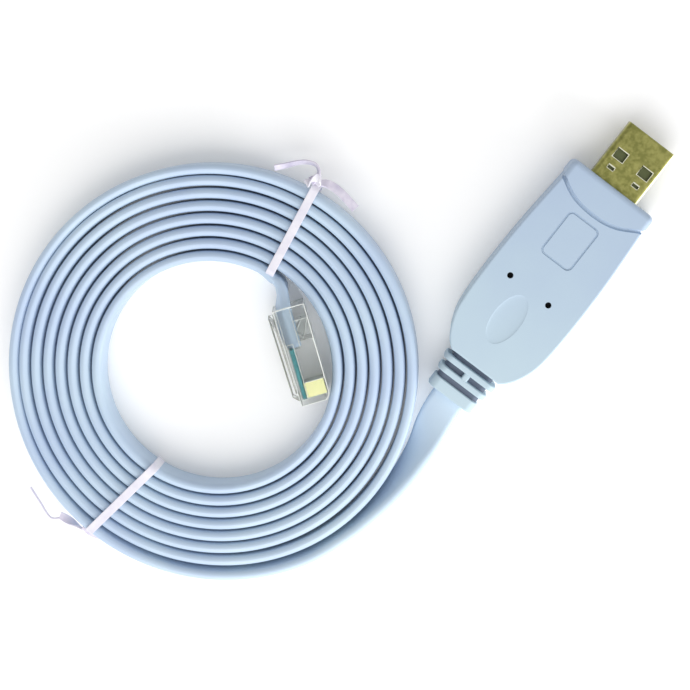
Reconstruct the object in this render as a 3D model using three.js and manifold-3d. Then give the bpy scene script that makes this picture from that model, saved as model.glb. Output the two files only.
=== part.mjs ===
// A console cable: a gold-plated USB-A plug in a moulded housing, a flat eight-core cable wound on edge into
// a coil, two twist ties round the coil, and a clear RJ45 plug on the cable's inner end.
// Millimetres, +Z up. The housing lies flat with its plug towards +Y, and the origin is under its middle.
import * as THREE from 'three';
import { mergeVertices } from 'three/addons/utils/BufferGeometryUtils.js';
import Module from 'manifold-3d';

const wasm = await Module();
wasm.setup();

// Driving dimensions: clearances
const seatGap = 0.3;
const contactGap = 0.1;

// Driving dimensions: the housing and its strain relief
const adapterLength = 70.6;
const capWidth = 21.2;
const capHeight = 9.8;
const capSideLength = 3.4;
const capArcDrop = 3.0;
const capStep = 0.35;
const bodyWidth = 22.8;
const bodyShoulderWidth = 20.9;
const bodyLength = 48.0;
const bodyEdgeRadius = 1.6;
const bodyEdgeSteps = 4;
const tailShoulderLength = 9.0;
const reliefLength = 9.4;
const reliefNeckWidth = 13.6;
const reliefEndWidth = 11.2;
const reliefNeckHeight = 8.4;
const reliefEndHeight = 6.6;
const reliefCoreWidth = 9.6;
const reliefCoreHeight = 4.6;
const reliefSlotLength = 1.35;
const reliefRingLength = 1.45;
const reliefWebWidth = 1.4;
const reliefPocketDepth = 2.0;

// Driving dimensions: marks in the housing's top face
const frameWidth = 7.8;
const frameLength = 10.8;
const frameCornerRadius = 1.1;
const frameLineWidth = 0.45;
const frameDepth = 0.25;
const frameFromCap = 8.9;
const markOffset = -0.7;
const pinHoleDiameter = 1.3;
const pinHoleDepth = 2.0;
const pinHoleSpacing = 10.6;
const pinHoleFromCap = 27.8;
const thumbLength = 12.6;
const thumbWidth = 6.4;
const thumbDepth = 0.45;
const thumbFromCap = 35.8;

// Driving dimensions: the USB-A plug
const shellWidth = 12.0;
const shellHeight = 4.5;
const shellExposed = 13.0;
const shellBuried = 5.0;
const shellWall = 0.3;
const shellCornerRadius = 0.7;
const windowWidth = 2.5;
const windowLength = 2.1;
const windowFromTip = 5.8;
const windowSpacing = 6.6;
const dimpleWidth = 1.5;
const dimpleLength = 0.7;
const dimpleFromTip = 9.7;
const tongueThickness = 1.55;
const tongueSetback = 0.9;
const contactWidth = 1.0;
const contactThickness = 0.25;
const contactSetback = 1.2;
const contactPitches = [-3.5, -1.0, 1.0, 3.5];
const outerContactLength = 8.4;
const innerContactLength = 7.4;

// Driving dimensions: the flat cable and its coil
const cableWidth = 7.8;
const cableThickness = 2.35;
const cableCorner = 0.7;
const coilTurns = 8;
const coilPitch = 2.45;
const coilBoreRadius = 26.4;
const coilCentre = new THREE.Vector2(-44.8, -62.4);
const coilGrooveDepth = 0.7;
const coilGrooveWidth = 0.7;
const coilFacets = 56;

// Driving dimensions: the RJ45 plug, lying on its side
const rjLength = 21.5;
const rjWidth = 11.68;
const rjHeight = 6.5;
const rjRearHeight = 6.9;
const rjWall = 1.0;
const rjNoseCut = 1.0;
const rjRear = new THREE.Vector2(-41.02, -41.52);
const rjHeading = THREE.MathUtils.degToRad(-37.3);
const rjLean = THREE.MathUtils.degToRad(7);
const rjContactFace = 3.9;
const rjJacketOffset = -0.9;
const rjJacketDepth = 9.0;
const rjCorePitch = 1.016;
const rjCoreDiameter = 0.86;
const rjCoreOffset = -1.5;
const rjCores = 8;
const bladeThickness = 0.35;
const bladeLength = 3.3;
const bladeSetback = 1.2;
const bladeSink = 0.4;
const latchWidth = 6.2;
const latchThickness = 0.9;
const latchLength = 16.5;
const latchGap = 0.5;
const clampWindowLength = 4.6;
const clampWindowFromRear = 3.2;
const clampWindowWidth = 8.2;
const clampThickness = 1.3;

// Driving dimensions: the twist ties
const tieWidth = 2.0;
const tieThickness = 0.5;
const tieSlack = 1.0;
const tieCornerRadius = 0.9;
const tieKnotDiameter = 1.7;

// Places worked out from those sizes
const tipY = adapterLength / 2;
const capFrontY = tipY - shellExposed;
const capSideY = capFrontY - capSideLength;
const reliefEndY = -adapterLength / 2;
const neckY = reliefEndY + reliefLength;
const midZ = capHeight / 2;
const bodyTopZ = capHeight - capStep;
const coilOuterRadius = coilBoreRadius + coilTurns * coilPitch;
const coilMidRadius = (coilBoreRadius + coilOuterRadius) / 2;
const cableMidZ = cableWidth / 2;

// Materials, with the colours that the real finishes have
const finishes = {
  housing: new THREE.MeshStandardMaterial({ color: 0xb4c6de, roughness: 0.55, metalness: 0 }),
  gold: new THREE.MeshStandardMaterial({ color: 0xa8923c, roughness: 0.35, metalness: 1 }),
  insulator: new THREE.MeshStandardMaterial({ color: 0x23262b, roughness: 0.6, metalness: 0 }),
  contact: new THREE.MeshStandardMaterial({ color: 0xe0c060, roughness: 0.3, metalness: 1 }),
  jacket: new THREE.MeshStandardMaterial({ color: 0xb9cdea, roughness: 0.5, metalness: 0 }),
  clear: new THREE.MeshStandardMaterial({ color: 0xe6ece8, roughness: 0.1, metalness: 0 }),
  core: new THREE.MeshStandardMaterial({ color: 0x4f9aa0, roughness: 0.5, metalness: 0 }),
  tie: new THREE.MeshStandardMaterial({ color: 0xf1eff2, roughness: 0.45, metalness: 0 }),
};

const object = new THREE.Group();

function addPiece(name, geometry, finish) {
  const mesh = new THREE.Mesh(geometry, finishes[finish]);
  mesh.name = name;
  object.add(mesh);
}

// A closed three.js geometry as a solid for joining and cutting, and back again
function toSolid(geometry) {
  const bare = geometry.clone();
  bare.deleteAttribute('normal');
  bare.deleteAttribute('uv');
  const merged = mergeVertices(bare, 1e-5);
  const vertProperties = new Float32Array(merged.attributes.position.array);
  const triVerts = new Uint32Array(merged.index.array);
  return new wasm.Manifold(new wasm.Mesh({ numProp: 3, vertProperties, triVerts }));
}

function toGeometry(solid) {
  const mesh = solid.getMesh();
  const geometry = new THREE.BufferGeometry();
  geometry.setAttribute('position', new THREE.BufferAttribute(new Float32Array(mesh.vertProperties), 3));
  geometry.setIndex(new THREE.BufferAttribute(new Uint32Array(mesh.triVerts), 1));
  geometry.computeVertexNormals();
  return geometry;
}

// A box given by its two corners
function box(low, high) {
  const size = new THREE.Vector3().subVectors(high, low);
  const centre = new THREE.Vector3().addVectors(low, high).multiplyScalar(0.5);
  const geometry = new THREE.BoxGeometry(size.x, size.y, size.z);
  return geometry.translate(centre.x, centre.y, centre.z);
}

function boxSolid(x0, y0, z0, x1, y1, z1) {
  return toSolid(box(new THREE.Vector3(x0, y0, z0), new THREE.Vector3(x1, y1, z1)));
}

// A rectangle with round corners, as a shape or as a hole
function roundedRectangle(width, height, radius, path = new THREE.Shape()) {
  const x = width / 2;
  const y = height / 2;
  path.moveTo(-x + radius, -y);
  path.lineTo(x - radius, -y);
  path.absarc(x - radius, -y + radius, radius, -Math.PI / 2, 0);
  path.lineTo(x, y - radius);
  path.absarc(x - radius, y - radius, radius, 0, Math.PI / 2);
  path.lineTo(-x + radius, y);
  path.absarc(-x + radius, y - radius, radius, Math.PI / 2, Math.PI);
  path.lineTo(-x, -y + radius);
  path.absarc(-x + radius, -y + radius, radius, Math.PI, 1.5 * Math.PI);
  path.closePath();
  return path;
}

// A solid through a stack of closed rings of points, each with the same number of points. The rings run
// anticlockwise as seen from the last one, and both ends are closed with fans.
function loft(rings) {
  const count = rings[0].length;
  const middle = (ring) => ring.reduce((sum, point) => sum.add(point), new THREE.Vector3()).divideScalar(count);
  const points = [...rings.flat(), middle(rings[0]), middle(rings.at(-1))];
  const lastRing = (rings.length - 1) * count;
  const index = [];
  for (let i = 0; i < count; i++) {
    const j = (i + 1) % count;
    for (let ring = 0; ring < lastRing; ring += count) {
      index.push(ring + i, ring + j, ring + count + j);
      index.push(ring + i, ring + count + j, ring + count + i);
    }
    index.push(j, i, lastRing + count);
    index.push(lastRing + i, lastRing + j, lastRing + count + 1);
  }
  const geometry = new THREE.BufferGeometry().setFromPoints(points);
  geometry.setIndex(index);
  return toSolid(geometry);
}

// The points of a closed outline, without the last one where it repeats the first
function outlinePoints(shape, curveSegments) {
  const points = shape.getPoints(curveSegments);
  const kept = points.filter((point, i) => i === 0 || point.distanceTo(points[i - 1]) > 1e-4);
  if (kept[0].distanceTo(kept.at(-1)) < 1e-4) {
    kept.pop();
  }
  return kept;
}

// An anticlockwise outline moved inwards by the same distance all round
function inset(points, distance) {
  return points.map((point, i) => {
    const before = points.at(i - 1);
    const after = points[(i + 1) % points.length];
    const arriving = point.clone().sub(before).normalize();
    const leaving = after.clone().sub(point).normalize();
    const inwards = new THREE.Vector2(-arriving.y - leaving.y, arriving.x + leaving.x);
    return point.clone().addScaledVector(inwards, distance / (1 + arriving.dot(leaving)));
  });
}

// A block with its outline in plan and rounded top and bottom edges, from z = low to z = high
function roundedSlab(outline, low, high, edge, steps, curveSegments) {
  const points = outlinePoints(outline, curveSegments);
  const rings = [];
  for (let step = 0; step <= 2 * steps + 1; step++) {
    const quarter = step <= steps ? step : step - 1;
    const angle = (quarter / steps) * (Math.PI / 2);
    const z = step <= steps ? low + edge * (1 - Math.cos(angle)) : high - edge * (1 + Math.cos(angle));
    const depth = edge * (1 - Math.sin(angle));
    rings.push(inset(points, depth).map((point) => new THREE.Vector3(point.x, point.y, z)));
  }
  return loft(rings);
}

// A route for a flat section: a smooth curve with a roll angle at each of its points, so that the ribbon
// turns from lying flat (0) to standing on edge (a quarter turn).
class RibbonRoute extends THREE.CatmullRomCurve3 {
  constructor(points, rolls) {
    super(points, false, 'centripetal');
    this.rolls = rolls;
  }

  computeFrenetFrames(segments) {
    const tangents = [];
    const normals = [];
    const binormals = [];
    const up = new THREE.Vector3(0, 0, 1);
    const last = this.rolls.length - 1;
    for (let i = 0; i <= segments; i++) {
      const u = i / segments;
      const tangent = this.getTangentAt(u);
      const place = this.getUtoTmapping(u) * last;
      const before = Math.min(Math.floor(place), last - 1);
      const roll = THREE.MathUtils.lerp(this.rolls[before], this.rolls[before + 1], place - before);
      const side = new THREE.Vector3().crossVectors(tangent, up).normalize();
      const top = new THREE.Vector3().crossVectors(side, tangent);
      const normal = side.multiplyScalar(Math.cos(roll)).addScaledVector(top, Math.sin(roll));
      tangents.push(tangent);
      normals.push(normal);
      binormals.push(new THREE.Vector3().crossVectors(tangent, normal));
    }
    return { tangents, normals, binormals };
  }
}

// A ribbon with cut corners swept along its route
function ribbon(points, rolls, width, thickness, corner, steps) {
  const x = width / 2;
  const y = thickness / 2;
  const section = new THREE.Shape();
  section.moveTo(x, -y + corner);
  section.lineTo(x, y - corner);
  section.lineTo(x - corner, y);
  section.lineTo(-x + corner, y);
  section.lineTo(-x, y - corner);
  section.lineTo(-x, -y + corner);
  section.lineTo(-x + corner, -y);
  section.lineTo(x - corner, -y);
  section.closePath();
  const route = new RibbonRoute(points, rolls.map(THREE.MathUtils.degToRad));
  return new THREE.ExtrudeGeometry(section, { steps, extrudePath: route, bevelEnabled: false });
}

// The housing's outline in plan: straight shoulders that widen to the middle and close in round to the neck
function bodyOutline() {
  const shoulder = bodyShoulderWidth / 2;
  const half = bodyWidth / 2;
  const neck = reliefNeckWidth / 2;
  const frontY = capSideY + capArcDrop;
  const roundY = neckY + tailShoulderLength;
  const middleY = (frontY + roundY) / 2;
  const outline = new THREE.Shape();
  outline.moveTo(shoulder, frontY);
  outline.lineTo(-shoulder, frontY);
  outline.quadraticCurveTo(-half, middleY + bodyLength / 8, -half, middleY);
  outline.quadraticCurveTo(-half, roundY, -half + 0.12 * half, roundY - 0.2 * tailShoulderLength);
  outline.quadraticCurveTo(-neck - 0.14 * half, neckY, -neck, neckY);
  outline.lineTo(neck, neckY);
  outline.quadraticCurveTo(neck + 0.14 * half, neckY, half - 0.12 * half, roundY - 0.2 * tailShoulderLength);
  outline.quadraticCurveTo(half, roundY, half, middleY);
  outline.quadraticCurveTo(half, middleY + bodyLength / 8, shoulder, frontY);
  return outline;
}

// The cap's outline: square at the plug end and a shallow arc towards the body
function capOutline() {
  const half = capWidth / 2;
  const outline = new THREE.Shape();
  outline.moveTo(half, capFrontY);
  outline.lineTo(-half, capFrontY);
  outline.lineTo(-half, capSideY);
  const radius = (half * half + capArcDrop * capArcDrop) / (2 * capArcDrop);
  const reach = Math.asin(half / radius);
  const centreY = capSideY - capArcDrop + radius;
  outline.absarc(0, centreY, radius, -Math.PI / 2 - reach, -Math.PI / 2 + reach);
  outline.lineTo(half, capFrontY);
  return outline;
}

// The tapered strain relief: a solid wedge less two full grooves and one pair of half slots with a web
function strainRelief() {
  const section = (width, height, y) => {
    const shape = roundedRectangle(width, height, 0.35 * height);
    return outlinePoints(shape, 3).map((point) => new THREE.Vector3(point.x, y, midZ + point.y));
  };
  let relief = loft([
    section(reliefNeckWidth, reliefNeckHeight, neckY + 0.4),
    section(reliefEndWidth, reliefEndHeight, reliefEndY),
  ]);
  const core = roundedRectangle(reliefCoreWidth, reliefCoreHeight, 0.3 * reliefCoreHeight);
  for (let slot = 0; slot < 3; slot++) {
    const top = neckY - slot * (reliefSlotLength + reliefRingLength);
    const ring = roundedRectangle(1.5 * reliefNeckWidth, 1.5 * reliefNeckHeight, 1);
    ring.holes.push(core);
    const groove = new THREE.ExtrudeGeometry(ring, {
      depth: reliefSlotLength,
      bevelEnabled: false,
      curveSegments: 3,
    });
    groove.rotateX(Math.PI / 2);
    let cut = toSolid(groove.translate(0, top, midZ));
    if (slot === 1) {
      const web = boxSolid(-reliefWebWidth / 2, top - reliefSlotLength, 0, reliefWebWidth / 2, top, capHeight);
      cut = cut.subtract(web);
    }
    relief = relief.subtract(cut);
  }
  return relief;
}

// The sunk outline of a rounded rectangle in the top face, with nothing inside it
function frameGroove() {
  const outline = roundedRectangle(frameWidth, frameLength, frameCornerRadius);
  const innerRadius = frameCornerRadius - frameLineWidth;
  const inner = roundedRectangle(
    frameWidth - 2 * frameLineWidth,
    frameLength - 2 * frameLineWidth,
    innerRadius,
    new THREE.Path(),
  );
  outline.holes.push(inner);
  const groove = new THREE.ExtrudeGeometry(outline, { depth: 2 * frameDepth, bevelEnabled: false, curveSegments: 3 });
  const y = capFrontY - frameFromCap - frameLength / 2;
  return toSolid(groove.translate(markOffset, y, bodyTopZ - frameDepth));
}

function pinHole(side) {
  const drill = new THREE.CylinderGeometry(pinHoleDiameter / 2, pinHoleDiameter / 2, 2 * pinHoleDepth, 12);
  drill.rotateX(Math.PI / 2);
  const x = markOffset + (side * pinHoleSpacing) / 2;
  return toSolid(drill.translate(x, capFrontY - pinHoleFromCap, bodyTopZ));
}

function thumbRecess() {
  const scoop = new THREE.SphereGeometry(1, 20, 12);
  scoop.scale(thumbWidth / 2, thumbLength / 2, thumbDepth);
  return toSolid(scoop.translate(markOffset, capFrontY - thumbFromCap, bodyTopZ));
}

function housing() {
  const body = roundedSlab(bodyOutline(), capStep, bodyTopZ, bodyEdgeRadius, bodyEdgeSteps, 5);
  const cap = roundedSlab(capOutline(), 0, capHeight, 0.5, 1, 8);
  const shellPocket = boxSolid(
    -shellWidth / 2 - seatGap,
    capFrontY - shellBuried - seatGap,
    midZ - shellHeight / 2 - seatGap,
    shellWidth / 2 + seatGap,
    capFrontY + 1,
    midZ + shellHeight / 2 + seatGap,
  );
  const cablePocket = boxSolid(
    -cableWidth / 2 - seatGap,
    reliefEndY - 1,
    midZ - cableThickness / 2 - seatGap,
    cableWidth / 2 + seatGap,
    reliefEndY + reliefPocketDepth,
    midZ + cableThickness / 2 + seatGap,
  );
  return body
    .add(cap)
    .add(strainRelief())
    .subtract(shellPocket)
    .subtract(cablePocket)
    .subtract(frameGroove())
    .subtract(pinHole(-1))
    .subtract(pinHole(1))
    .subtract(thumbRecess());
}

// The USB-A shell: a folded tube, open at the mouth, with two windows and two dimple slots on each face
function usbShell() {
  const outline = roundedRectangle(shellWidth, shellHeight, shellCornerRadius);
  const hollow = roundedRectangle(
    shellWidth - 2 * shellWall,
    shellHeight - 2 * shellWall,
    shellCornerRadius - shellWall,
    new THREE.Path(),
  );
  outline.holes.push(hollow);
  const depth = shellExposed + shellBuried;
  const tube = new THREE.ExtrudeGeometry(outline, { depth, bevelEnabled: false, curveSegments: 2 });
  tube.rotateX(Math.PI / 2);
  let shell = toSolid(tube.translate(0, tipY, midZ));
  for (const side of [-1, 1]) {
    const x = (side * windowSpacing) / 2;
    const front = tipY - windowFromTip;
    const slotFront = tipY - dimpleFromTip;
    shell = shell
      .subtract(boxSolid(x - windowWidth / 2, front - windowLength, 0, x + windowWidth / 2, front, capHeight))
      .subtract(boxSolid(x - dimpleWidth / 2, slotFront - dimpleLength, 0, x + dimpleWidth / 2, slotFront, capHeight));
  }
  return shell;
}

const tongueTopZ = midZ - shellHeight / 2 + shellWall + seatGap + tongueThickness;

function addUsbPlug() {
  addPiece('usb_shell', toGeometry(usbShell()), 'gold');
  const half = shellWidth / 2 - shellWall - seatGap;
  const backY = capFrontY - shellBuried;
  const low = new THREE.Vector3(-half, backY, tongueTopZ - tongueThickness);
  const high = new THREE.Vector3(half, tipY - tongueSetback, tongueTopZ);
  addPiece('usb_tongue', box(low, high), 'insulator');
  contactPitches.forEach((x, index) => {
    const outer = Math.abs(x) === Math.max(...contactPitches);
    const length = outer ? outerContactLength : innerContactLength;
    const front = tipY - tongueSetback - contactSetback;
    const bottom = tongueTopZ + contactGap;
    const from = new THREE.Vector3(x - contactWidth / 2, front - length, bottom);
    const to = new THREE.Vector3(x + contactWidth / 2, front, bottom + contactThickness);
    addPiece(`usb_contact_${index + 1}`, box(from, to), 'contact');
  });
}

// The cable from the strain relief to the coil: it leaves flat and rolls up on edge beside the outer turn
const leadPoints = [
  [0.0, -33.6, 4.9],
  [0.1, -36.5, 4.9],
  [0.4, -39.5, 4.85],
  [1.3, -43.0, 4.7],
  [2.5, -46.5, 4.5],
  [3.4, -50.0, 4.3],
  [3.8, -54.0, 4.15],
  [3.7, -58.5, 4.05],
  [3.3, -63.0, 4.0],
  [2.6, -68.0, 3.95],
  [1.5, -73.0, 3.95],
];
const leadRolls = [0, 0, -8, -20, -36, -52, -66, -76, -84, -89, -90];

// The cable from the coil's bore into the clear plug, on edge all the way
const tailPoints = [
  [-46.4, -37.8, 4.0],
  [-44.6, -38.1, 4.3],
  [-42.9, -39.5, 5.2],
];

function pointsOf(rows) {
  return rows.map((row) => new THREE.Vector3(...row));
}

// The clear plug's own frame: x along it from its rear, y across towards its contacts, z up its side. It
// stands on the lower edge of its contact side and leans that side against the coil.
const rjPlace = new THREE.Matrix4()
  .makeTranslation(rjRear.x, rjRear.y, rjContactFace * Math.sin(rjLean))
  .multiply(new THREE.Matrix4().makeRotationZ(rjHeading))
  .multiply(new THREE.Matrix4().makeRotationX(-rjLean));

function rjPoint(along, across, up) {
  return new THREE.Vector3(along, across, up).applyMatrix4(rjPlace);
}

const rjMidZ = rjWidth / 2;

function addCable() {
  const lead = ribbon(pointsOf(leadPoints), leadRolls, cableWidth, cableThickness, cableCorner, 12);
  addPiece('cable_lead', lead, 'jacket');
  const inside = [0, rjJacketDepth / 2, rjJacketDepth].map((u) => rjPoint(u, rjJacketOffset, rjMidZ));
  const points = [...pointsOf(tailPoints), ...inside];
  const upright = THREE.MathUtils.radToDeg(rjLean) - 90;
  const rolls = [-90, -90, (upright - 90) / 2, ...inside.map(() => upright)];
  addPiece('cable_tail', ribbon(points, rolls, cableWidth, cableThickness, cableCorner, 9), 'jacket');
}

// The coil: one turned ring whose turns show as grooves round its top and bottom
function coilProfile() {
  const half = coilGrooveWidth / 2;
  const top = [];
  const bottom = [];
  for (let turn = 0; turn < coilTurns; turn++) {
    const inner = coilBoreRadius + turn * coilPitch;
    const outer = inner + coilPitch;
    if (turn > 0) {
      top.push([inner, cableWidth - coilGrooveDepth]);
      bottom.push([inner, coilGrooveDepth]);
    } else {
      top.push([inner, cableWidth - half]);
      bottom.push([inner, half]);
    }
    top.push([inner + half, cableWidth], [outer - half, cableWidth]);
    bottom.push([inner + half, 0], [outer - half, 0]);
  }
  top.push([coilOuterRadius, cableWidth - half]);
  bottom.push([coilOuterRadius, half]);
  const loop = [...bottom, ...top.reverse()];
  loop.push(bottom[0]);
  return loop.map(([radius, z]) => new THREE.Vector2(radius, z));
}

// Where each tie crosses the coil: the angle round the coil, and the way that its strip runs outwards
const tiePlaces = [
  { name: 'twist_tie_upper', angle: 97.0, heading: 96.0 },
  { name: 'twist_tie_lower', angle: -88.5, heading: -98.5 },
];

function tieMatrix(place) {
  const angle = THREE.MathUtils.degToRad(place.angle);
  const x = coilCentre.x + coilMidRadius * Math.cos(angle);
  const y = coilCentre.y + coilMidRadius * Math.sin(angle);
  const matrix = new THREE.Matrix4().makeRotationZ(THREE.MathUtils.degToRad(place.heading));
  return matrix.setPosition(x, y, 0);
}

function coilRing() {
  const ring = new THREE.LatheGeometry(coilProfile(), coilFacets);
  ring.rotateX(Math.PI / 2);
  let solid = toSolid(ring.translate(coilCentre.x, coilCentre.y, 0));
  const reach = coilOuterRadius - coilBoreRadius;
  for (const place of tiePlaces) {
    const half = tieWidth / 2 + seatGap;
    const slot = box(new THREE.Vector3(-reach, -half, -1), new THREE.Vector3(reach, half, tieThickness + seatGap));
    solid = solid.subtract(toSolid(slot.applyMatrix4(tieMatrix(place))));
  }
  return solid;
}

// A tie: a flat strip round the coil's section, twisted together outside it, with two loose tails
function tieLoop() {
  const length = coilTurns * coilPitch + 2 * tieSlack + 2 * tieThickness;
  const height = cableWidth + seatGap + 2 * tieThickness;
  const outline = roundedRectangle(length, height, tieCornerRadius);
  const hole = roundedRectangle(
    length - 2 * tieThickness,
    height - 2 * tieThickness,
    tieCornerRadius - tieThickness,
    new THREE.Path(),
  );
  outline.holes.push(hole);
  const strip = new THREE.ExtrudeGeometry(outline, { depth: tieWidth, bevelEnabled: false, curveSegments: 3 });
  strip.translate(0, 0, -tieWidth / 2);
  strip.rotateX(Math.PI / 2);
  return strip.translate(0, 0, height / 2);
}

// The knot and tails in the tie's own frame: x outwards along the strip, y across it, z up
const tieKnotX = (coilTurns * coilPitch) / 2 + tieSlack + tieThickness;
const tieTails = {
  twist_tie_upper: [
    [[tieKnotX, 0, 7.6], [12.9, 1.5, 7.6], [13.6, 4.3, 7.3], [12.6, 7.6, 6.2], [10.3, 10.8, 4.8]],
    [[tieKnotX, 0, 7.6], [13.1, -1.6, 7.8], [13.4, -4.2, 8.2], [13.0, -7.0, 8.4], [12.3, -9.8, 8.2]],
  ],
  twist_tie_lower: [
    [[tieKnotX, 0, 7.2], [13.0, 1.4, 6.8], [13.6, 3.8, 6.2], [13.4, 6.6, 5.6], [12.9, 8.6, 5.2]],
    [[tieKnotX, 0, 7.2], [13.2, -2.0, 5.8], [13.9, -5.5, 3.6], [13.4, -10.5, 2.2], [11.6, -15.6, 1.6]],
  ],
};

function twistTie(place) {
  let solid = toSolid(tieLoop());
  const knot = new THREE.CapsuleGeometry(tieKnotDiameter / 2, 2.4, 2, 8);
  solid = solid.add(toSolid(knot.translate(tieKnotX + 0.4 * tieKnotDiameter, 0, 7.4)));
  for (const tail of tieTails[place.name]) {
    const rolls = tail.map(() => -60);
    const strip = ribbon(pointsOf(tail), rolls, tieWidth, tieThickness, 0.1, 8);
    solid = solid.add(toSolid(strip));
  }
  const geometry = toGeometry(solid);
  return geometry.applyMatrix4(tieMatrix(place));
}

// A slab of the clear plug, in its own frame: an outline of x and y, from z = low to z = high
function rjSlab(points, low, high) {
  const outline = new THREE.Shape(points.map(([along, across]) => new THREE.Vector2(along, across)));
  const geometry = new THREE.ExtrudeGeometry(outline, { depth: high - low, bevelEnabled: false });
  return toSolid(geometry.translate(0, 0, low));
}

const rjFrontLow = rjContactFace - rjHeight;
const rjRearLow = rjContactFace - rjRearHeight;

function rjBody() {
  const shape = [
    [0, rjContactFace],
    [0, rjRearLow],
    [rjLength, rjFrontLow],
    [rjLength, rjContactFace - rjNoseCut],
    [rjLength - rjNoseCut, rjContactFace],
  ];
  let body = rjSlab(shape, 0, rjWidth);
  const latch = [
    [rjLength - 0.2, rjFrontLow + latchGap],
    [rjLength - 2.2, rjFrontLow + latchGap],
    [rjLength - 2.6, rjFrontLow - latchGap],
    [rjLength - latchLength, rjRearLow - latchGap],
    [rjLength - latchLength, rjRearLow - latchGap - latchThickness],
    [rjLength - 2.0, rjFrontLow - latchGap - latchThickness],
  ];
  body = body.add(rjSlab(latch, rjMidZ - latchWidth / 2, rjMidZ + latchWidth / 2));
  const jacketRoom = cableThickness / 2 + seatGap;
  const jacketHole = boxSolid(
    -1,
    rjJacketOffset - jacketRoom,
    rjMidZ - cableWidth / 2 - seatGap,
    rjJacketDepth + seatGap,
    rjJacketOffset + jacketRoom,
    rjMidZ + cableWidth / 2 + seatGap,
  );
  const coreRoom = rjCoreDiameter / 2 + seatGap;
  const coreBand = (rjCores * rjCorePitch) / 2 + seatGap;
  const coreHole = boxSolid(
    rjJacketDepth - 1,
    rjCoreOffset - coreRoom,
    rjMidZ - coreBand,
    rjLength - rjWall,
    rjCoreOffset + coreRoom,
    rjMidZ + coreBand,
  );
  body = body.subtract(jacketHole).subtract(coreHole);
  for (let core = 0; core < rjCores; core++) {
    const z = rjMidZ + (core - (rjCores - 1) / 2) * rjCorePitch;
    const half = bladeThickness / 2 + contactGap;
    const slot = boxSolid(
      rjLength - bladeSetback - bladeLength - contactGap,
      rjCoreOffset,
      z - half,
      rjLength - bladeSetback + contactGap,
      rjContactFace + 1,
      z + half,
    );
    body = body.subtract(slot);
  }
  const windowHalf = clampWindowWidth / 2;
  const windowFloor = rjJacketOffset + jacketRoom - 0.5;
  const window = boxSolid(
    clampWindowFromRear,
    windowFloor,
    rjMidZ - windowHalf,
    clampWindowFromRear + clampWindowLength,
    rjContactFace + 1,
    rjMidZ + windowHalf,
  );
  const bar = [
    [clampWindowFromRear - 0.2, rjContactFace],
    [clampWindowFromRear - 0.2, rjContactFace - clampThickness],
    [clampWindowFromRear + 0.6 * clampWindowLength, rjJacketOffset + jacketRoom],
    [clampWindowFromRear + 0.9 * clampWindowLength, rjJacketOffset + jacketRoom + clampThickness],
  ];
  body = body.subtract(window);
  return body.add(rjSlab(bar, rjMidZ - windowHalf + seatGap, rjMidZ + windowHalf - seatGap));
}

function addRj45Plug() {
  addPiece('rj45_body', toGeometry(rjBody()).applyMatrix4(rjPlace), 'clear');
  const front = rjLength - bladeSetback;
  for (let core = 0; core < rjCores; core++) {
    const z = rjMidZ + (core - (rjCores - 1) / 2) * rjCorePitch;
    const wire = new THREE.CylinderGeometry(rjCoreDiameter / 2, rjCoreDiameter / 2, 1, 8);
    const start = rjJacketDepth + seatGap;
    const length = front - start;
    wire.scale(1, length, 1).rotateZ(-Math.PI / 2);
    wire.translate(start + length / 2, rjCoreOffset, z);
    addPiece(`conductor_${core + 1}`, wire.applyMatrix4(rjPlace), 'core');
    const low = new THREE.Vector3(front - bladeLength, rjCoreOffset + rjCoreDiameter / 2 + contactGap, z);
    const high = new THREE.Vector3(front, rjContactFace - bladeSink, z);
    low.z -= bladeThickness / 2;
    high.z += bladeThickness / 2;
    addPiece(`rj45_contact_${core + 1}`, box(low, high).applyMatrix4(rjPlace), 'contact');
  }
}

addPiece('housing', toGeometry(housing()), 'housing');
addUsbPlug();
addPiece('cable_coil', toGeometry(coilRing()), 'jacket');
addCable();
for (const place of tiePlaces) {
  addPiece(place.name, twistTie(place), 'tie');
}
addRj45Plug();

export default object;
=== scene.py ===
# %% [markdown]
# A USB console cable, dressed for its photograph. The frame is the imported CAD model, in metres, with the
# housing along +Y and everything lying on z = 0. Lengths below are written in millimetres, as a maker would
# say them, and MM turns them into metres.

# %% The frame
import math

import bpy
from mathutils import Matrix, Vector


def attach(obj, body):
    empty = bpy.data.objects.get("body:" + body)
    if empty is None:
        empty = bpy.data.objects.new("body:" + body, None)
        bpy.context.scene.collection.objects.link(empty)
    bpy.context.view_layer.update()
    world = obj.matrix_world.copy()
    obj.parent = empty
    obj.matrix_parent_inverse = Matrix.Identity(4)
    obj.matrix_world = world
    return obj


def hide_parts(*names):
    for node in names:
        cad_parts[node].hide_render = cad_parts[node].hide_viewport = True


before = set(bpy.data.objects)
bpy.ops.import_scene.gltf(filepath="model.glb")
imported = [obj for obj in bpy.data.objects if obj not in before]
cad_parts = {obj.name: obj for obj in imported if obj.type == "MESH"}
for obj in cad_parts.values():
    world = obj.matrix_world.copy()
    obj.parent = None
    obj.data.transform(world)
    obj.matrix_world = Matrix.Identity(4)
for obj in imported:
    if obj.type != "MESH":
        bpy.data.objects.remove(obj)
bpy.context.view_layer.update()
bpy.ops.object.select_all(action="DESELECT")
MM = 0.001
print("CAD nodes:", len(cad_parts))

# %% [markdown]
# The camera looks almost straight down on the table from about 360 mm. Its place, its aim and the way that
# is right in the picture were fitted to the plug's known width and the coil's roundness. A camera could also
# be aimed with a Track To constraint, but three vectors keep its small roll too.

# %% The camera
CAMERA_PLACE = Vector((-36.81, 24.21, 353.82)) * MM
CAMERA_AIM = Vector((-24.89, -41.14, 0.0)) * MM
CAMERA_RIGHT = Vector((0.7969, 0.5983, -0.0837))
SENSOR_WIDTH = 36.0
LENS = 84.1

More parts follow.
